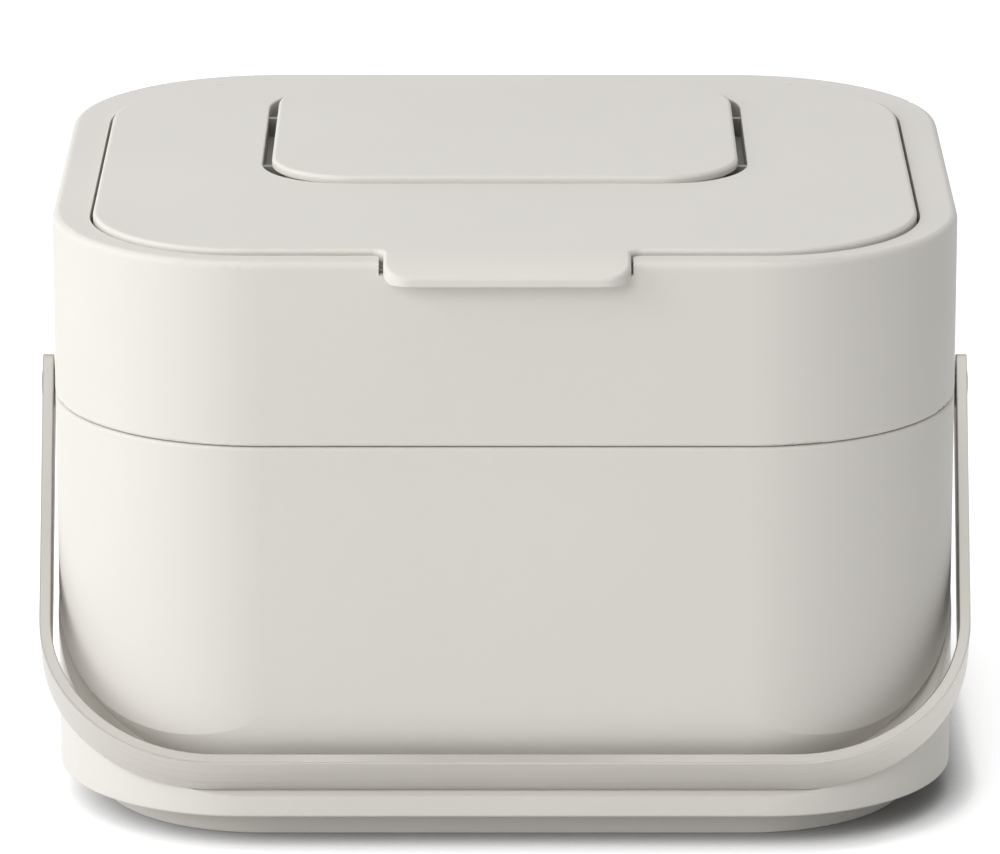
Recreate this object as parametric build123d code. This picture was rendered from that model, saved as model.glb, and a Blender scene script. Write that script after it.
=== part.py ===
from build123d import *
import math
import os

# Stackable food caddy with a lift-off collar, a flip lid and a swinging strip handle.
# Frame: X to the right, Y to the back, Z up, origin on the floor under the middle of
# the whole piece, from the lift tab's front to the back wall.
# All lengths are in millimetres and all angles in degrees.

# Body outline and heights
body_width = 241.6
body_depth = 208.0
corner_radius = 56.0
plinth_front_radius = 51.0
wall = 2.4
foot_height = 8.4
foot_inset = 11.0
foot_wall = 2.8
floor_thickness = 2.4
floor_round = 3.5
seam_height = 111.0
seam_gap = 0.3
seam_round = 0.9
base_round = 0.8
foot_round = 0.4

# Strip handle, laid out in the tilted plane in which it rests
pivot_drop = 12.7
pivot_y = -1.0
rest_tilt = 36.3
strap_bar_stand_off = 3.2
strap_side_stand_off = 6.6
strap_toe_in = 2.5
strap_corner_radius = 48.2
strap_thickness = 3.1
strap_width = 12.8
strap_end = 7.0
strap_end_round = 2.5
strap_edge_round = 0.4
strap_rest_gap = 0.3

# Groove in the bucket behind the strip
chin_start = 12.0
chin_set_back = 5.0
chin_side_set_back = 2.4
chin_corner_radius = 60.0
chin_side_splay = 1.9
chin_side_lead = 0.6
chin_sections = 4

# Handle pivots
stud_radius = 2.5
stud_head_radius = 4.6
stud_head_depth = 1.7
bush_radius = 4.2
bush_flange_radius = 5.8
bush_flange = 1.4
pivot_running_gap = 0.05
boss_radius = 6.0
boss_face_gap = 0.6
cap_radius = 5.4
cap_thickness = 2.6
cap_skin = 0.9
cap_gap = 0.3

# Collar
collar_height = 50.0
rim_round = 2.0
rim_thickness = 2.8
spigot_depth = 5.6
spigot_wall = 1.8
spigot_gap = 0.35
spigot_bridge = 2.6
pocket_wall = 2.0
lid_ledge_drop = 8.4
lid_ledge_thickness = 2.2
lid_ledge_width = 9.0

# Lid panel
lid_side_margin = 11.2
lid_front_margin = 8.0
lid_back_margin = 17.0
lid_corner_radius = 41.5
lid_gap = 0.9
lid_proud = 1.5
lid_skin = 2.2
lid_edge_depth = 6.0
lid_edge_wall = 2.0
lid_round = 1.1

# Lift tab
tab_width = 64.4
tab_shift = 0.6
tab_reach = 15.5
tab_drop = 3.9
tab_thickness = 3.0
tab_corner_radius = 7.0
tab_under_gap = 1.0
tab_inner_radius = 3.0
tab_root_step = 0.5

# Lid hinge
hinge_pin_radius = 0.9
hinge_running_gap = 0.05
hinge_barrel_radius = 2.4
hinge_ear_radius = 1.6
hinge_ear_middle = 52.0
hinge_ear_width = 4.0
hinge_lug_width = 3.5
hinge_side_gap = 0.4
hinge_ear_foot = 3.4
hinge_slot_lift = 1.0
hinge_pin_overrun = 0.3
hinge_relief_gap = 0.6
hinge_relief_lead = 1.3
hinge_relief_drop = 1.2

# Vent in the lid
vent_width = 127.0
vent_depth = 106.0
vent_back_margin = 8.0
vent_corner_radius = 22.0
vent_proud = 1.8
vent_thickness = 2.2
vent_round = 1.1
vent_edge_round = 0.5
vent_end_gap = 2.6
vent_side_gap = 0.35
vent_rib_front = 23.0
vent_rib_spacing = 54.0
vent_rib_width = 2.0
vent_rib_drop = 1.2
vent_post_radius = 2.6
vent_post_inset_x = 17.0
vent_post_inset_y = 14.0
vent_post_gap = 0.1
vent_post_length = 7.4
vent_skirt_inset = 3.0
vent_skirt_wall = 1.4
vent_skirt_drop = 2.2

# Lid liner with the filter bay
liner_gap = 0.3
liner_plate = 1.8
liner_drop = 4.2
liner_wall = 1.6
bay_wall = 1.8
bay_depth = 8.5
bay_margin_x = 5.2
bay_front_margin = 3.4
bay_back_margin = 14.0
bay_corner_radius = 16.0
grille_thickness = 1.8
grille_slot = 3.2
grille_pitch = 7.4
grille_margin = 9.0
socket_radius = 4.4
seal_width = 3.2
seal_inset = 2.8
seal_gap = 0.3
seal_back_margin = 12.0
liner_hinge_gap = 0.9

# Filter
pad_thickness = 5.0
pad_gap = 0.5
tray_gap = 0.4
tray_plate = 1.6
tray_wall = 1.4
tray_rise = 4.6
tray_slot = 6.0
tray_pitch = 12.0
tray_bar = 8.0
tray_pull_width = 26.0
tray_pull_depth = 3.0
tray_pull_drop = 5.0

# How close a place has to be to count as on an edge, and a direction as along an axis
near = 0.2
mostly = 0.9

# Sizes that follow from the ones above
half_width = body_width / 2
half_depth = body_depth / 2
bucket_top = seam_height - seam_gap / 2
collar_bottom = seam_height + seam_gap / 2
floor_top = foot_height + floor_thickness
rim_height = seam_height + collar_height
lid_ledge_height = rim_height - lid_ledge_drop
lid_top = rim_height + lid_proud
lid_under = lid_top - lid_skin
lid_front = lid_front_margin - half_depth
lid_back = half_depth - lid_back_margin
lid_width = body_width - 2 * lid_side_margin
lid_depth = lid_back - lid_front
lid_middle = (lid_back + lid_front) / 2
vent_middle = lid_back - vent_back_margin - vent_depth / 2
seal_back = lid_back - seal_back_margin
hinge_y = lid_back - hinge_barrel_radius
hinge_z = lid_top - hinge_barrel_radius
tilt = math.radians(rest_tilt)
pivot_height = seam_height - pivot_drop
strap_reach = (half_depth + pivot_y) / math.cos(tilt) + strap_bar_stand_off
strap_half_width_pivot = half_width + strap_side_stand_off
ledge_level = -strap_width / 2 - strap_rest_gap
boss_face = strap_half_width_pivot - strap_thickness - boss_face_gap
bush_inner_face = half_width - wall - bush_flange
cap_outer_face = bush_inner_face - cap_gap
liner_top = lid_under
liner_floor = lid_under - liner_drop
bay_width = vent_width + 2 * bay_margin_x
bay_front = vent_middle - vent_depth / 2 - bay_front_margin
bay_back = lid_back - bay_back_margin
bay_length = bay_back - bay_front
bay_middle = (bay_back + bay_front) / 2
bay_bottom = liner_floor - bay_depth
grille_top = liner_floor
plate_bottom = lid_top + vent_proud - vent_thickness
reach = 2 * (body_width + body_depth)
frame_shift = (tab_reach - lid_front - half_depth) / 2

# The plane in which the strip rests: its local -Y runs from the pivots to the bar.
strap_plane = Plane(
    origin=(0, pivot_y, pivot_height),
    x_dir=(1, 0, 0),
    z_dir=(0, -math.sin(tilt), math.cos(tilt)),
)


def prism(outline, low, high):
    """Upright solid between two heights from an outline drawn about the origin."""
    return extrude(Pos(0, 0, low) * outline, amount=high - low)


def rounded_outline(width, depth, radius, middle=0.0):
    """Rounded rectangle, moved along Y to its middle."""
    return Pos(0, middle) * RectangleRounded(width, depth, radius)


def body_outline(inset):
    """Plan outline of the walls, set in by the given distance."""
    return RectangleRounded(
        body_width - 2 * inset, body_depth - 2 * inset, corner_radius - inset
    )


def lower_outline(inset):
    """Plan outline of the plinth, whose front corners are tighter than the walls'."""
    tight = rounded_outline(
        body_width - 2 * inset, body_depth - 2 * inset, plinth_front_radius - inset
    )
    front = Pos(0, -half_depth) * Rectangle(reach, body_depth)
    return body_outline(inset) + (tight & front)


def lid_outline(grow):
    """Plan outline of the lid panel, grown by the given distance."""
    return rounded_outline(
        lid_width + 2 * grow, lid_depth + 2 * grow, lid_corner_radius + grow, lid_middle
    )


def vent_outline(grow_x, grow_y):
    """Plan outline of the vent cover, grown by the given distances."""
    radius = vent_corner_radius + min(grow_x, grow_y)
    return rounded_outline(
        vent_width + 2 * grow_x, vent_depth + 2 * grow_y, radius, vent_middle
    )


def arch_outline(half_top, half_bar, bar_reach, radius, end):
    """U outline in the tilted plane: arms from the pivots and a rounded bar."""
    face = make_face(
        Polyline(
            (-half_top, end),
            (-half_bar, -bar_reach),
            (half_bar, -bar_reach),
            (half_top, end),
            close=True,
        )
    )
    corners = face.vertices().sort_by(Axis.Y)[0:2]
    return fillet(corners, radius)


def chin_reach(level):
    """Reach of the groove's back at a level above the strip's middle plane."""
    wall_reach = (half_depth + pivot_y - chin_start * math.sin(tilt)) / math.cos(tilt)
    drop = chin_start - level
    full_drop = chin_start - ledge_level
    set_back = chin_set_back * (drop / full_drop) ** 2 / math.cos(tilt)
    return wall_reach + drop * math.tan(tilt) - set_back


def chin_section(level, inset):
    """Section of the bowl above the groove, parallel to the strip's plane."""
    share = (chin_start - level) / (chin_start - ledge_level)
    set_back = (chin_side_set_back + chin_side_lead) * share ** 2
    side = half_width + chin_side_lead - set_back - inset
    front = chin_reach(level) - inset
    splayed = side + (front + body_depth) * math.tan(math.radians(chin_side_splay))
    radius = corner_radius + (chin_corner_radius - corner_radius) * share - inset
    outline = arch_outline(splayed, side, front, radius, body_depth)
    return strap_plane.offset(level) * outline


def bowl(inset):
    """Space inside the groove: curved in towards the ledge and open upwards."""
    step = (chin_start - ledge_level) / (chin_sections - 1)
    levels = [ledge_level + step * i for i in range(chin_sections)]
    sections = [chin_section(level, inset) for level in levels]
    curved = loft(sections)
    above = extrude(sections[-1], amount=reach)
    below = extrude(sections[0], amount=-reach)
    return [curved, above, below]


def half_space_below(level):
    """Everything under a plane that is parallel to the strip's plane."""
    slab = extrude(Rectangle(2 * reach, 2 * reach), amount=-reach)
    return strap_plane.offset(level) * slab


def cylinder_x(radius, low, high, y, z):
    """Round bar along X between two places, on either side of the middle."""
    bar = extrude(Plane.YZ.offset(low) * Circle(radius), amount=high - low)
    return Pos(0, y, z) * bar


def pivot_bar(radius, low, high):
    """Round bar along X on the handle's axis."""
    return cylinder_x(radius, low, high, pivot_y, pivot_height)


def both_sides(maker):
    """The same solid made for the left and for the right side."""
    right = maker()
    return {"left": mirror(right, about=Plane.YZ), "right": right}


def upper_limit(upper):
    """Block that keeps the plinth's solid under the rounded top edge of the walls."""
    box = upper.bounding_box()
    return Pos(0, 0, box.max.Z - seam_round - reach / 2) * Box(reach, reach, reach)


def make_bucket():
    """Lower bin with its groove for the handle and its pivot bosses."""
    curved, above, _ = bowl(0.0)
    plinth = prism(lower_outline(0.0), foot_height, bucket_top)
    plinth = fillet(plinth.edges().group_by(Axis.Z)[0], base_round)
    upper = prism(body_outline(0.0), foot_height, bucket_top)
    upper = fillet(upper.edges().group_by(Axis.Z)[-1], seam_round)
    below = plinth & half_space_below(ledge_level) & upper_limit(upper)
    shell = below + (upper & curved) + (upper & above)

    cavity = prism(body_outline(wall), floor_top, bucket_top + wall)
    cavity = fillet(cavity.edges().group_by(Axis.Z)[0], floor_round)
    for piece in bowl(wall):
        shell -= cavity & piece

    for side in (-1, 1):
        start = side * (half_width - wall)
        boss = pivot_bar(boss_radius, start, side * boss_face)
        bore_start = side * (half_width - wall - boss_radius)
        bore = pivot_bar(bush_radius, bore_start, side * (boss_face + wall))
        shell = shell + boss - bore
    return shell


def make_foot_ring():
    """Ring under the floor on which the bin stands, with the stacking recess inside it."""
    ring = prism(body_outline(foot_inset), 0.0, foot_height)
    ring = fillet(ring.edges().group_by(Axis.Z)[0], foot_round)
    return ring - prism(body_outline(foot_inset + foot_wall), -foot_height, 2 * foot_height)


def make_bush():
    """Plain bush pressed into a pivot boss, with a flange inside the bin."""
    tube = pivot_bar(bush_radius, bush_inner_face, boss_face)
    flange = pivot_bar(bush_flange_radius, bush_inner_face, bush_inner_face + bush_flange)
    bore_radius = stud_radius + pivot_running_gap
    bore = pivot_bar(bore_radius, bush_inner_face - wall, boss_face + wall)
    return tube + flange - bore


def stud_head():
    """Countersunk head of a pivot stud."""
    head_back = strap_half_width_pivot - stud_head_depth
    cone = Cone(stud_radius, stud_head_radius, stud_head_depth)
    middle = Pos(head_back + stud_head_depth / 2, pivot_y, pivot_height)
    return middle * Rot(0, 90, 0) * cone


def make_stud():
    """Pivot stud, riveted into the strip and ending in the cap inside the bin."""
    tip = cap_outer_face - cap_thickness + cap_skin
    head_back = strap_half_width_pivot - stud_head_depth
    shank = pivot_bar(stud_radius, tip, head_back)
    return shank + stud_head()


def make_cap():
    """Push-on cap that keeps a pivot stud from sliding out."""
    inner = cap_outer_face - cap_thickness
    disc = pivot_bar(cap_radius, inner, cap_outer_face)
    rim = disc.edges().filter_by(GeomType.CIRCLE).sort_by(Axis.X)[0]
    disc = fillet(rim, cap_skin)
    return disc - pivot_bar(stud_radius, inner + cap_skin, cap_outer_face)


def make_strap():
    """Bent flat strip with two arms and one bar."""
    outer = arch_outline(
        strap_half_width_pivot,
        bar_corner_half_width(),
        strap_reach,
        strap_corner_radius,
        strap_end,
    )
    inner = arch_outline(
        strap_half_width_pivot - strap_thickness,
        bar_corner_half_width() - strap_thickness,
        strap_reach - strap_thickness,
        strap_corner_radius - strap_thickness,
        strap_end,
    )
    strip = extrude(outer - inner, amount=strap_width / 2, both=True)
    ends = strip.edges().filter_by(Axis.X).group_by(Axis.Y)[-1]
    strip = fillet(ends, strap_end_round)
    strip = fillet([e for e in strip.edges() if is_long_edge(e)], strap_edge_round)
    strip = strap_plane * strip
    for side in (-1, 1):
        outside = side * (strap_half_width_pivot + strap_thickness)
        inside = side * (strap_half_width_pivot - 2 * strap_thickness)
        strip -= pivot_bar(stud_radius, inside, outside)
    strip -= stud_head()
    strip -= mirror(stud_head(), about=Plane.YZ)
    return strip


def is_long_edge(edge):
    """Whether an edge of the strip runs along it and not across it."""
    return edge.geom_type != GeomType.LINE or edge.length > strap_width


def bar_corner_half_width():
    """Half width at which the arms' lines meet the bar's line."""
    straight = strap_reach - strap_corner_radius + strap_end
    return strap_half_width_pivot - strap_toe_in * (strap_reach + strap_end) / straight


def make_collar():
    """Upper frame: wall, rim, pocket for the lid, ledge, spigot and hinge ears."""
    wall_block = prism(body_outline(0.0), collar_bottom, rim_height)
    wall_block = fillet(wall_block.edges().group_by(Axis.Z)[-1], rim_round)
    wall_block = fillet(wall_block.edges().group_by(Axis.Z)[0], seam_round)
    hollow = prism(body_outline(wall), collar_bottom - wall, rim_height - rim_thickness)
    collar = wall_block - hollow

    pocket = prism(lid_outline(lid_gap + pocket_wall), ledge_bottom(), rim_height - rim_round)
    collar += pocket & prism(body_outline(wall / 2), ledge_bottom(), rim_height)
    collar -= prism(lid_outline(lid_gap), lid_ledge_height, rim_height + rim_round)
    collar -= prism(mouth_outline(), ledge_bottom() - wall, rim_height)

    spigot_low = collar_bottom - spigot_depth
    spigot = prism(body_outline(wall + spigot_gap), spigot_low, collar_bottom)
    bridge_top = collar_bottom + spigot_bridge
    spigot += prism(body_outline(wall / 2), collar_bottom, bridge_top)
    inside = body_outline(wall + spigot_gap + spigot_wall)
    spigot -= prism(inside, spigot_low - wall, bridge_top + wall)
    collar += spigot

    notch_floor = lid_top - tab_fall(half_depth + lid_front) - tab_thickness - tab_under_gap
    notch = offset(lid_plan(tab_shift / 2), lid_gap)
    collar -= prism(notch, notch_floor, rim_height + rim_round)

    collar -= hinge_relief()
    for side in (-1, 1):
        collar += hinge_ear(side)
    return collar


def tab_fall(run):
    """Drop of the tab's upper face at a distance in front of the lid's edge."""
    bend = tab_bend_radius()
    return bend - math.sqrt(bend ** 2 - run ** 2)


def tab_bend_radius():
    """Radius of the tab's downward curve, from its reach and its drop."""
    return (tab_reach ** 2 + tab_drop ** 2) / (2 * tab_drop)


def ledge_bottom():
    """Underside of the ledge that carries the lid."""
    return lid_ledge_height - lid_ledge_thickness


def mouth_outline():
    """Opening of the collar under the lid."""
    return lid_outline(lid_gap - lid_ledge_width)


def hinge_relief():
    """Room in the pocket's back corners for the lid's top as the lid swings up."""
    room = Pos(hinge_y, hinge_z) * Circle(hinge_barrel_radius + hinge_relief_gap)
    above = Pos(hinge_y, hinge_z - hinge_relief_drop + reach / 2) * Rectangle(reach, reach)
    rise = lid_corner_radius - hinge_barrel_radius - hinge_relief_lead
    half = lid_width / 2 - lid_corner_radius + math.sqrt(lid_corner_radius ** 2 - rise ** 2)
    return extrude(Plane.YZ * (room & above), amount=half, both=True)


def hinge_ear(side):
    """Ear that rises from the ledge and carries one hinge pin."""
    foot_front = hinge_y - hinge_ear_foot
    arm = make_face(
        Polyline(
            (foot_front, ledge_bottom()),
            (hinge_y, ledge_bottom()),
            (hinge_y, hinge_z - hinge_ear_radius),
            (hinge_y, hinge_z),
            (foot_front, hinge_z - hinge_ear_radius),
            close=True,
        )
    )
    profile = arm + Pos(hinge_y, hinge_z) * Circle(hinge_ear_radius)
    profile -= Pos(hinge_y, hinge_z) * Circle(hinge_pin_radius + hinge_running_gap)
    start = side * hinge_ear_middle - hinge_ear_width / 2
    return extrude(Plane.YZ.offset(start) * profile, amount=hinge_ear_width)


def lid_plan(shift):
    """Plan outline of the lid panel with its lift tab, which lies off the middle."""
    tab_front = lid_front - tab_reach
    tab_length = 2 * (lid_corner_radius + tab_reach)
    tab = Pos(shift, tab_front + tab_length / 2)
    tab *= RectangleRounded(tab_width, tab_length, tab_corner_radius)
    plan = lid_outline(0.0) + tab
    roots = [v for v in plan.vertices() if on_tab_root(v, shift)]
    return fillet(roots, tab_inner_radius)


def on_tab_root(vertex, shift):
    """Whether a corner of the plan is where the tab leaves the lid's front edge."""
    at_front = math.isclose(vertex.Y, lid_front, abs_tol=near)
    return at_front and math.isclose(abs(vertex.X - shift), tab_width / 2, abs_tol=near)


def tab_space():
    """Space over and under the curved tab, in front of the lid's edge."""
    bend = tab_bend_radius()
    centre = Pos(lid_front, lid_top - bend)
    above = Pos(lid_front - reach / 2, lid_top) * Rectangle(reach, 2 * bend)
    above -= centre * Circle(bend)
    below = centre * Circle(bend - tab_thickness)
    below += Pos(lid_front - reach / 2, lid_top - 2 * bend) * Rectangle(reach, 2 * bend)
    root = lid_front - tab_root_step
    below &= Pos(root - reach / 2, lid_top) * Rectangle(reach, reach)
    return extrude(Plane.YZ * (above + below), amount=reach, both=True)


def make_lid_panel():
    """Lid skin with its turned-down edge, lift tab, vent opening and hinge barrel."""
    low = lid_top - lid_edge_depth
    block = prism(lid_plan(tab_shift), low, lid_top) - tab_space()
    block = fillet([e for e in block.edges() if on_lid_top(e)], lid_round)
    block -= Pos(0, hinge_y + reach / 2, hinge_z) * Box(reach, reach, reach)
    block -= prism(lid_outline(-lid_edge_wall), low - lid_edge_wall, lid_under)
    block = block + hinge_barrel() - hinge_slots()
    opening = vent_outline(vent_end_gap, vent_side_gap)
    block -= prism(opening, low, lid_top + vent_proud)
    rim = [e for e in block.edges() if on_vent_edge(e)]
    return fillet(rim, vent_edge_round)


def on_lid_top(edge):
    """Whether an edge runs along the upper outline of the lid or of its tab."""
    centre = edge.center()
    ahead = lid_front - centre.Y
    if ahead > tab_inner_radius / 4:
        level = lid_top - tab_fall(min(ahead, tab_reach))
        upright = edge.geom_type == GeomType.LINE and abs(edge.tangent_at(0).Z) > mostly
        return centre.Z > level - tab_thickness / 2 and not upright
    smooth = abs(centre.X) < tab_width / 4 and ahead > -near
    return centre.Z > lid_top - near and not smooth


def on_vent_edge(edge):
    """Whether an edge is on the upper outline of the vent opening."""
    centre = edge.center()
    at_top = math.isclose(centre.Z, lid_top, abs_tol=near)
    half_x = vent_width / 2 + vent_end_gap + near
    half_y = vent_depth / 2 + vent_side_gap + near
    return at_top and abs(centre.X) < half_x and abs(centre.Y - vent_middle) < half_y


def hinge_barrel():
    """Rounded back edge of the lid with the lugs that hold the hinge pins."""
    round_bar = Pos(hinge_y, hinge_z) * Circle(hinge_barrel_radius)
    back = Pos(hinge_y + reach / 2, hinge_z) * Rectangle(reach, reach)
    barrel = extrude(Plane.YZ * (round_bar & back), amount=half_width, both=True)
    lug_width = hinge_ear_width + 2 * (hinge_side_gap + hinge_lug_width)
    for side in (-1, 1):
        plane = Plane.YZ.offset(side * hinge_ear_middle)
        barrel += extrude(plane * round_bar, amount=lug_width / 2, both=True)
    return barrel & prism(lid_outline(0.0), hinge_z - 2 * hinge_barrel_radius, lid_top)


def hinge_slots():
    """Room in the lid for the collar's ears and for the hinge pins."""
    axis = Pos(hinge_y, hinge_z)
    clear = hinge_barrel_radius + hinge_side_gap
    profile = axis * Circle(hinge_ear_radius + hinge_side_gap)
    below = Pos(hinge_y, hinge_z + hinge_slot_lift - clear) * Rectangle(2 * clear, 2 * clear)
    width = hinge_ear_width + 2 * hinge_side_gap
    pin_hole = axis * Circle(hinge_pin_radius)
    slots = []
    for side in (-1, 1):
        plane = Plane.YZ.offset(side * hinge_ear_middle)
        slots.append(extrude(plane * (profile + below), amount=width / 2, both=True))
        slots.append(extrude(plane * pin_hole, amount=width / 2 + hinge_lug_width, both=True))
    return slots


def make_hinge_pin():
    """Steel pin through one ear and its two lugs."""
    half = hinge_ear_width / 2 + hinge_side_gap + hinge_lug_width - hinge_pin_overrun
    start = hinge_ear_middle - half
    return cylinder_x(hinge_pin_radius, start, start + 2 * half, hinge_y, hinge_z)


def bay_outline(inset):
    """Plan outline of the filter bay, set in from its outer walls."""
    return rounded_outline(
        bay_width - 2 * inset, bay_length - 2 * inset, bay_corner_radius - inset, bay_middle
    )


def make_lid_liner():
    """Inner panel that closes the lid from below and carries the filter bay."""
    edge = lid_edge_wall + liner_gap
    plate_top = liner_floor + liner_plate
    liner = prism(lid_outline(-edge), liner_floor, liner_top)
    liner -= prism(lid_outline(-edge - liner_wall), plate_top, liner_top + liner_wall)
    opening = vent_outline(vent_end_gap, vent_side_gap)
    well = vent_outline(vent_end_gap + liner_wall, vent_side_gap + liner_wall)
    liner += prism(well, plate_top, liner_top)
    liner += prism(bay_outline(0.0), bay_bottom, liner_floor)
    liner -= prism(bay_outline(bay_wall), bay_bottom - bay_wall, liner_floor)
    back = hinge_y - hinge_ear_foot - liner_hinge_gap
    rear_wall = Pos(0, back - liner_wall / 2, (plate_top + liner_top) / 2)
    width = lid_width - 2 * lid_corner_radius
    liner += rear_wall * Box(width, liner_wall, liner_top - plate_top)
    liner -= Pos(0, back + reach / 2, liner_floor) * Box(reach, reach, reach)
    liner -= prism(opening, plate_top, liner_top + liner_plate)
    way_down = opening & bay_outline(bay_wall)
    return liner - prism(way_down, liner_floor - liner_plate, plate_top + liner_plate)


def make_lid_seal():
    """Soft strip under the lid's edge, open at the back for the hinge."""
    low = lid_ledge_height + seal_gap
    ring = prism(lid_outline(-seal_inset), low, liner_floor)
    ring -= prism(lid_outline(-seal_inset - seal_width), low - seal_width, lid_top)
    return ring - Pos(0, seal_back + reach / 2, low) * Box(reach, reach, reach)


def post_places():
    """Plan places of the vent cover's posts."""
    x = vent_width / 2 - vent_post_inset_x
    y = vent_depth / 2 - vent_post_inset_y
    return [(sx * x, vent_middle + sy * y) for sx in (-1, 1) for sy in (-1, 1)]


def make_vent_grille():
    """Slotted plate over the filter, with end ribs and sockets for the vent cover."""
    grille = prism(bay_outline(bay_wall + vent_post_gap), grille_top - grille_thickness, grille_top)
    slot_length = (bay_length - 2 * bay_wall - 3 * grille_margin) / 2
    count = int((vent_width - 2 * grille_margin) // grille_pitch) + 1
    for i in range(count):
        x = (i - (count - 1) / 2) * grille_pitch
        for side in (-1, 1):
            y = bay_middle + side * (slot_length + grille_margin) / 2
            grille -= Pos(x, y, grille_top) * extrude(
                SlotOverall(slot_length, grille_slot, rotation=90),
                amount=2 * grille_thickness,
                both=True,
            )
    rib_top = lid_top - vent_rib_drop
    rib_length = vent_end_gap + vent_post_inset_x - socket_radius
    rib_x = vent_width / 2 + vent_end_gap - rib_length / 2
    rib_y = vent_middle - vent_depth / 2 + vent_rib_front
    for side in (-1, 1):
        for y in (rib_y, rib_y + vent_rib_spacing):
            rib = Box(rib_length, vent_rib_width, rib_top - grille_top)
            grille += Pos(side * rib_x, y, (rib_top + grille_top) / 2) * rib
    for x, y in post_places():
        socket = Cylinder(socket_radius, 2 * grille_thickness)
        grille += Pos(x, y, grille_top) * socket
    for x, y in post_places():
        hole = Cylinder(vent_post_radius + vent_post_gap, reach)
        grille -= Pos(x, y, grille_top) * hole
    return grille


def make_vent_cover():
    """Raised cover over the vent, standing on four posts, with a plain top."""
    top = lid_top + vent_proud
    cover = prism(vent_outline(0.0, 0.0), plate_bottom, top)
    cover = fillet(cover.edges().group_by(Axis.Z)[-1], vent_round)
    outer = -vent_skirt_inset
    inner = outer - vent_skirt_wall
    skirt_bottom = plate_bottom - vent_skirt_drop
    skirt = prism(vent_outline(outer, outer), skirt_bottom, plate_bottom)
    skirt -= prism(vent_outline(inner, inner), skirt_bottom - vent_skirt_drop, plate_bottom)
    ends = Pos(0, vent_middle) * Box(reach, vent_depth - 2 * vent_corner_radius, reach)
    cover += skirt - ends
    for x, y in post_places():
        post = Cylinder(vent_post_radius, vent_post_length)
        cover += Pos(x, y, plate_bottom - vent_post_length / 2) * post
    return cover


def tray_top():
    """Upper face of the filter tray's floor."""
    return bay_bottom - tray_gap


def make_filter_tray():
    """Drop-out tray that closes the filter bay from below."""
    floor = tray_top() - tray_plate
    tray = prism(bay_outline(0.0), floor, tray_top())
    wall_inset = bay_wall + tray_gap
    walls = prism(bay_outline(wall_inset), tray_top(), tray_top() + tray_rise)
    walls -= prism(bay_outline(wall_inset + tray_wall), floor, tray_top() + 2 * tray_rise)
    tray += walls
    clear_x = bay_width - 2 * (wall_inset + tray_wall + tray_bar)
    clear_y = bay_length - 2 * (wall_inset + tray_wall + tray_bar)
    slot_length = (clear_y - tray_bar) / 2
    count = int(clear_x // tray_pitch) + 1
    for i in range(count):
        x = (i - (count - 1) / 2) * tray_pitch
        for side in (-1, 1):
            y = bay_middle + side * (slot_length + tray_bar) / 2
            tray -= Pos(x, y, floor) * extrude(
                SlotOverall(slot_length, tray_slot, rotation=90),
                amount=2 * tray_plate,
                both=True,
            )
    pull = Box(tray_pull_width, tray_pull_depth, tray_pull_drop)
    pull_y = bay_front + tray_pull_depth
    return tray + Pos(0, pull_y, floor - tray_pull_drop / 2) * pull


def make_filter_pad():
    """Odour filter pad that lies in the tray."""
    inset = bay_wall + tray_gap + tray_wall + pad_gap
    return prism(bay_outline(inset), tray_top(), tray_top() + pad_thickness)


def make_parts():
    """Every piece by its node name."""
    parts = {
        "bucket": make_bucket(),
        "foot_ring": make_foot_ring(),
        "handle_strap": make_strap(),
        "collar": make_collar(),
        "lid_panel": make_lid_panel(),
        "lid_liner": make_lid_liner(),
        "lid_seal": make_lid_seal(),
        "vent_grille": make_vent_grille(),
        "vent_cover": make_vent_cover(),
        "filter_tray": make_filter_tray(),
        "filter_pad": make_filter_pad(),
    }
    for name, maker in (
        ("pivot_bush", make_bush),
        ("pivot_stud", make_stud),
        ("pivot_cap", make_cap),
        ("hinge_pin", make_hinge_pin),
    ):
        for side, piece in both_sides(maker).items():
            parts[f"{name}_{side}"] = piece
    return parts


os.makedirs("parts", exist_ok=True)
for node, piece in make_parts().items():
    export_step(Pos(0, frame_shift) * piece, f"parts/{node}.step")
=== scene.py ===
import math

import bpy
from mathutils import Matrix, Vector


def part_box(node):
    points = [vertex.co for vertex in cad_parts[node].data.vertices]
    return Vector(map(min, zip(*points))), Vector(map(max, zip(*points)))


# Looks of a stackable recycling bin: matte stone-coloured plastic with a brushed strip handle.
# All lengths are in metres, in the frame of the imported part: X right, Y back, Z up.
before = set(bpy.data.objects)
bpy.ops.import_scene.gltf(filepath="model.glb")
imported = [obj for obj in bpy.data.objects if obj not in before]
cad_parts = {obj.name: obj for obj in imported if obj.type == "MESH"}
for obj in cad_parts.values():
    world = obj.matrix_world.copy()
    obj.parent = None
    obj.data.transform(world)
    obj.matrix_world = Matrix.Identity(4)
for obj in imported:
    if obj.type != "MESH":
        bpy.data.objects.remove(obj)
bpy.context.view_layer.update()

# Photograph: the frame's width, and where the part's middle line falls in it
photo_width = 1000.0
photo_middle = 504.9

# Camera: focal length in photograph pixels, angle above the horizon in radians, distance from
# the bucket's middle, and the height it looks at
focal_px = 7121.5
camera_elevation = 0.288061
camera_distance = 1.96919
target_height = 0.08575
sensor_width = 36.0

# Colours, linear
white = (1.0, 1.0, 1.0, 1.0)
stone = (0.736, 0.712, 0.668)
stone_inner = (0.70, 0.672, 0.62)
# The vent grille's colour is painted shade: darker than the shell so that the slots between
# its ribs look shadowed; its ribs get the same dark colour.
grille_painted_shade = (0.33, 0.32, 0.295)
steel = (0.52, 0.50, 0.466)
pin_steel = (0.52, 0.51, 0.50)
rubber = (0.30, 0.29, 0.275)
bush_plastic = (0.32, 0.31, 0.30)
felt = (0.045, 0.046, 0.048)
floor_colour = (0.80, 0.80, 0.80)

# Noise scales, per metre of the object
flow_marks = 9.0
handling_marks = 26.0
coarse_grain = 420.0
fine_grain = 1400.0
steel_patches = 30.0
steel_streaks = 2200.0
steel_streaks_along = 18.0
felt_fibres = 900.0
floor_patches = 1.5

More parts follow.
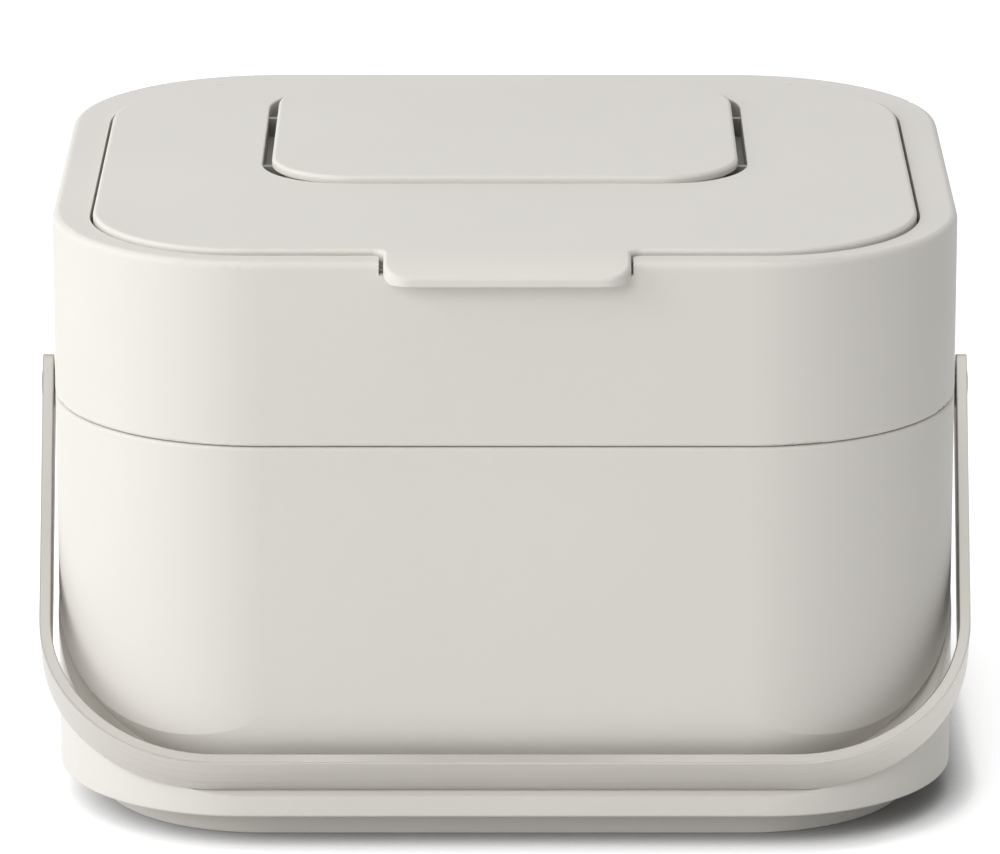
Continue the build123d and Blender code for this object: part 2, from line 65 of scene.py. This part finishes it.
# The part of a noise's range that holds most of its values
noise_low = 0.3
noise_high = 0.7

# Angle that the resting strip's cross direction leans forward from upright, in degrees
strip_lean = 36.3

# Floor: it glows where rays from the camera or from a reflection meet it in the open, and both
# its glow and its colour fall off close to the object, on the side away from the light, as a
# painted contact shadow
floor_size = 14.0
floor_glow = 0.6
contact_reach = 0.02
contact_closed = 0.3
contact_open = 0.8
# Share of the floor's colour left where the painted contact shadow is deepest
painted_shadow_colour = 0.3
contact_light = (-0.6, -0.1, 0.79)
contact_samples = 16

# World: its strength as a light. To the camera and in reflections it is plain white.
world_light = 0.405

# Lamps: name, place, size, power in watts, and whether it shows in reflections
lamps = (
    ("key_left", (-1.9, -0.5, 0.9), (1.6, 1.6), 24.8, False),
    ("front_left", (-0.9, -2.2, 1.3), (1.6, 1.2), 19.3, False),
    ("top", (-0.1, 0.1, 2.2), (1.5, 1.5), 7.0, False),
    ("top_glint", (0.0, 0.1, 2.2), (0.5, 1.0), 2.4, True),
)


class Nodes:
    """A node tree, with short calls for its nodes and links."""

    def __init__(self, owner):
        owner.use_nodes = True
        self.tree = owner.node_tree

    def node(self, kind, **settings):
        made = self.tree.nodes.new(kind)
        for key, value in settings.items():
            setattr(made, key, value)
        return made

    def link(self, source, target):
        self.tree.links.new(source, target)

    def stretched(self, source, from_range, to_range):
        """A value of one range laid over another range, and held at its ends."""
        made = self.node("ShaderNodeMapRange")
        for side, ends in (("From", from_range), ("To", to_range)):
            for end, value in zip(("Min", "Max"), ends):
                made.inputs[f"{side} {end}"].default_value = value
        self.link(source, made.inputs["Value"])
        return made.outputs["Result"]

    def arithmetic(self, operation, *values):
        """One arithmetic node, whose values are sockets or numbers."""
        made = self.node("ShaderNodeMath", operation=operation)
        for socket, value in zip(made.inputs, values):
            if isinstance(value, float):
                socket.default_value = value
            else:
                self.link(value, socket)
        return made.outputs["Value"]

    def light_share(self):
        """One for rays of the camera, of reflections and of see-through parts, else nought."""
        rays = self.node("ShaderNodeLightPath").outputs
        seen = self.arithmetic("MAXIMUM", rays["Is Camera Ray"], rays["Is Glossy Ray"])
        return self.arithmetic("MAXIMUM", seen, rays["Is Transmission Ray"])


class Shader(Nodes):
    """One node material for a surface."""

    def __init__(self, name):
        self.material = bpy.data.materials.new(name)
        super().__init__(self.material)
        self.surface = self.tree.nodes["Principled BSDF"].inputs
        self.place = self.node("ShaderNodeTexCoord").outputs["Object"]

    def noise(self, scale, detail=2.0, roughness=0.5, place=None):
        made = self.node("ShaderNodeTexNoise")
        made.inputs["Scale"].default_value = scale
        made.inputs["Detail"].default_value = detail
        made.inputs["Roughness"].default_value = roughness
        self.link(place or self.place, made.inputs["Vector"])
        return made.outputs["Fac"]

    def spread(self, source, low, high):
        """The middle of a noise's range stretched over low to high."""
        return self.stretched(source, (noise_low, noise_high), (low, high))

    def streaked(self, direction, fine, along):
        """Object coordinates that change fast in one direction and slowly in the others."""
        place = self.node("ShaderNodeVectorMath", operation="DOT_PRODUCT")
        self.link(self.place, place.inputs[0])
        place.inputs[1].default_value = direction
        across = self.node("ShaderNodeVectorMath", operation="SCALE")
        across.inputs[0].default_value = shade(direction, fine)
        self.link(place.outputs["Value"], across.inputs["Scale"])
        slow = self.node("ShaderNodeMapping")
        slow.inputs["Scale"].default_value = (along, along, along)
        self.link(self.place, slow.inputs["Vector"])
        made = self.node("ShaderNodeVectorMath", operation="ADD")
        self.link(across.outputs["Vector"], made.inputs[0])
        self.link(slow.outputs["Vector"], made.inputs[1])
        return made.outputs["Vector"]

    def tint(self, factor, first, second):
        """Colour between two, by a factor."""
        made = self.node("ShaderNodeMix", data_type="RGBA")
        made.inputs["A"].default_value = (*first, 1.0)
        made.inputs["B"].default_value = (*second, 1.0)
        self.link(factor, made.inputs["Factor"])
        self.link(made.outputs["Result"], self.surface["Base Color"])
        return made.outputs["Result"]

    def bump(self, height, distance):
        made = self.node("ShaderNodeBump")
        made.inputs["Distance"].default_value = distance
        made.inputs["Strength"].default_value = 1.0
        self.link(height, made.inputs["Height"])
        self.link(made.outputs["Normal"], self.surface["Normal"])


def shade(colour, factor):
    return tuple(channel * factor for channel in colour)


def around(middle, reach):
    return middle - reach, middle + reach


def moulded_plastic(name, colour, roughness, grain_depth):
    """Matte moulded plastic: fine eroded texture, faint flow marks and handling sheen."""
    shader = Shader(name)
    flow = shader.spread(shader.noise(flow_marks), 0.0, 1.0)
    shader.tint(flow, shade(colour, 0.985), shade(colour, 1.015))
    sheen = shader.spread(shader.noise(handling_marks, detail=3.0), *around(roughness, 0.03))
    shader.link(sheen, shader.surface["Roughness"])
    shader.surface["Specular IOR Level"].default_value = 0.35
    fine = shader.noise(fine_grain, detail=3.0, roughness=0.6)
    grain = shader.arithmetic("MULTIPLY_ADD", shader.noise(coarse_grain), 0.6, fine)
    shader.bump(grain, grain_depth)
    return shader.material


def brushed_steel(name, colour, across, roughness):
    """Satin steel with fine streaks at a right angle to the given direction."""
    shader = Shader(name)
    streaked = shader.streaked(across, steel_streaks, steel_streaks_along)
    fine = shader.noise(1.0, detail=4.0, roughness=0.65, place=streaked)
    shader.tint(shader.spread(fine, 0.0, 1.0), shade(colour, 0.93), shade(colour, 1.07))
    streaks = shader.spread(fine, *around(roughness, 0.05))
    rough = shader.arithmetic("MULTIPLY_ADD", shader.noise(steel_patches), 0.04, streaks)
    shader.link(rough, shader.surface["Roughness"])
    shader.surface["Metallic"].default_value = 1.0
    shader.bump(fine, 0.000012)
    return shader.material


def soft_felt(name, colour):
    """Dark filter felt with short fibres."""
    shader = Shader(name)
    fibres = shader.noise(felt_fibres, detail=5.0, roughness=0.7)
    shader.tint(shader.spread(fibres, 0.0, 1.0), shade(colour, 0.6), shade(colour, 1.6))
    shader.surface["Roughness"].default_value = 0.95
    shader.surface["Sheen Weight"].default_value = 0.25
    shader.bump(fibres, 0.0006)
    return shader.material


def put_material(node, material):
    """Every material slot of a CAD node gets one material."""
    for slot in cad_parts[node].material_slots:
        slot.link = "OBJECT"
        slot.material = material


def finish_part():
    """Materials for all nodes of the part."""
    lean = math.radians(strip_lean)
    across_strip = (0.0, -math.sin(lean), math.cos(lean))
    along_pins = (1.0, 0.0, 0.0)
    shell = moulded_plastic("shell_plastic", stone, roughness=0.52, grain_depth=0.00003)
    inner = moulded_plastic("inner_plastic", stone_inner, roughness=0.45, grain_depth=0.00002)
    # The vent grille gets a darkened plastic as painted shade in its slots.
    grille = moulded_plastic("grille_plastic", grille_painted_shade, roughness=0.5, grain_depth=0.00002)
    bushes = moulded_plastic("bush_plastic", bush_plastic, roughness=0.4, grain_depth=0.00001)
    seal = moulded_plastic("seal_rubber", rubber, roughness=0.7, grain_depth=0.00004)
    strip_metal = brushed_steel("strip_steel", steel, across_strip, roughness=0.34)
    pin_metal = brushed_steel("pin_steel", pin_steel, along_pins, roughness=0.25)
    filter_felt = soft_felt("filter_felt", felt)
    for material, nodes in (
        (shell, ("bucket", "foot_ring", "collar", "lid_panel", "vent_cover")),
        (grille, ("vent_grille",)),
        (inner, ("lid_liner", "filter_tray", "pivot_cap_left", "pivot_cap_right")),
        (bushes, ("pivot_bush_left", "pivot_bush_right")),
        (seal, ("lid_seal",)),
        (strip_metal, ("handle_strap", "pivot_stud_left", "pivot_stud_right")),
        (pin_metal, ("hinge_pin_left", "hinge_pin_right")),
        (filter_felt, ("filter_pad",)),
    ):
        for node in nodes:
            put_material(node, material)


def floor_material():
    """White to the camera and in reflections, with a painted soft contact shadow round the
    object.
    """
    shader = Shader("floor_white")
    colour = shader.tint(shader.noise(floor_patches), shade(floor_colour, 0.99), floor_colour)
    shader.surface["Roughness"].default_value = 0.9
    shader.surface["Specular IOR Level"].default_value = 0.0
    openness = shader.node("ShaderNodeAmbientOcclusion", samples=contact_samples)
    openness.inputs["Distance"].default_value = contact_reach
    towards_light = shader.node("ShaderNodeCombineXYZ")
    for axis, part in zip("XYZ", contact_light):
        towards_light.inputs[axis].default_value = part
    shader.link(towards_light.outputs["Vector"], openness.inputs["Normal"])
    open_share = openness.outputs["AO"]
    # Painted contact shadow: the floor's colour is darkened where ambient occlusion, leant
    # towards the light, finds the object close by.
    painted_shadow = shader.node("ShaderNodeVectorMath", operation="SCALE")
    shader.link(colour, painted_shadow.inputs[0])
    painted_shadow_share = shader.stretched(open_share, (0.0, 1.0), (painted_shadow_colour, 1.0))
    shader.link(painted_shadow_share, painted_shadow.inputs["Scale"])
    shader.link(painted_shadow.outputs["Vector"], shader.surface["Base Color"])
    # The glow is dimmed the same way, which paints the contact shadow into the white seen by
    # the camera and in reflections.
    glow = shader.stretched(open_share, (contact_closed, contact_open), (0.0, floor_glow))
    strength = shader.arithmetic("MULTIPLY", shader.light_share(), glow)
    shader.surface["Emission Color"].default_value = white
    shader.link(strength, shader.surface["Emission Strength"])
    return shader.material


def make_floor():
    """Square floor under the object."""
    mesh = bpy.data.meshes.new("floor")
    half = floor_size / 2
    corners = [(-half, -half, 0.0), (half, -half, 0.0), (half, half, 0.0), (-half, half, 0.0)]
    mesh.from_pydata(corners, [], [(0, 1, 2, 3)])
    mesh.materials.append(floor_material())
    floor = bpy.data.objects.new("floor", mesh)
    bpy.context.scene.collection.objects.link(floor)


def make_world():
    """White surround for the camera and for reflections, and a softer one for light."""
    world = bpy.data.worlds.new("studio")
    nodes = Nodes(world)
    background = nodes.tree.nodes["Background"]
    background.inputs["Color"].default_value = white
    strength = nodes.stretched(nodes.light_share(), (0.0, 1.0), (world_light, 1.0))
    nodes.link(strength, background.inputs["Strength"])
    bpy.context.scene.world = world


def make_lamp(name, place, size, power, shines):
    """Soft rectangular lamp aimed at the object, which shows in reflections if it shines."""
    data = bpy.data.lights.new(name, "AREA")
    data.shape = "RECTANGLE"
    data.size, data.size_y = size
    data.energy = power
    lamp = bpy.data.objects.new(name, data)
    lamp.location = place
    aim = Vector((0.0, 0.0, target_height)) - lamp.location
    lamp.rotation_mode = "QUATERNION"
    lamp.rotation_quaternion = aim.to_track_quat("-Z", "Y")
    lamp.visible_glossy = shines
    bpy.context.scene.collection.objects.link(lamp)


def make_camera():
    """Camera at the photograph's viewing angle."""
    data = bpy.data.cameras.new("camera")
    data.sensor_width = sensor_width
    data.lens = focal_px / photo_width * sensor_width
    data.shift_x = (photo_width / 2 - photo_middle) / photo_width
    camera = bpy.data.objects.new("camera", data)
    middle_y = (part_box("bucket")[0].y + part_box("bucket")[1].y) / 2
    camera.location = (
        0.0,
        middle_y - camera_distance * math.cos(camera_elevation),
        target_height + camera_distance * math.sin(camera_elevation),
    )
    camera.rotation_euler = (math.pi / 2 - camera_elevation, 0.0, 0.0)
    bpy.context.scene.collection.objects.link(camera)
    bpy.context.scene.camera = camera


finish_part()
make_world()
make_floor()
for lamp_row in lamps:
    make_lamp(*lamp_row)
make_camera()

bpy.context.scene.view_settings.view_transform = "Standard"
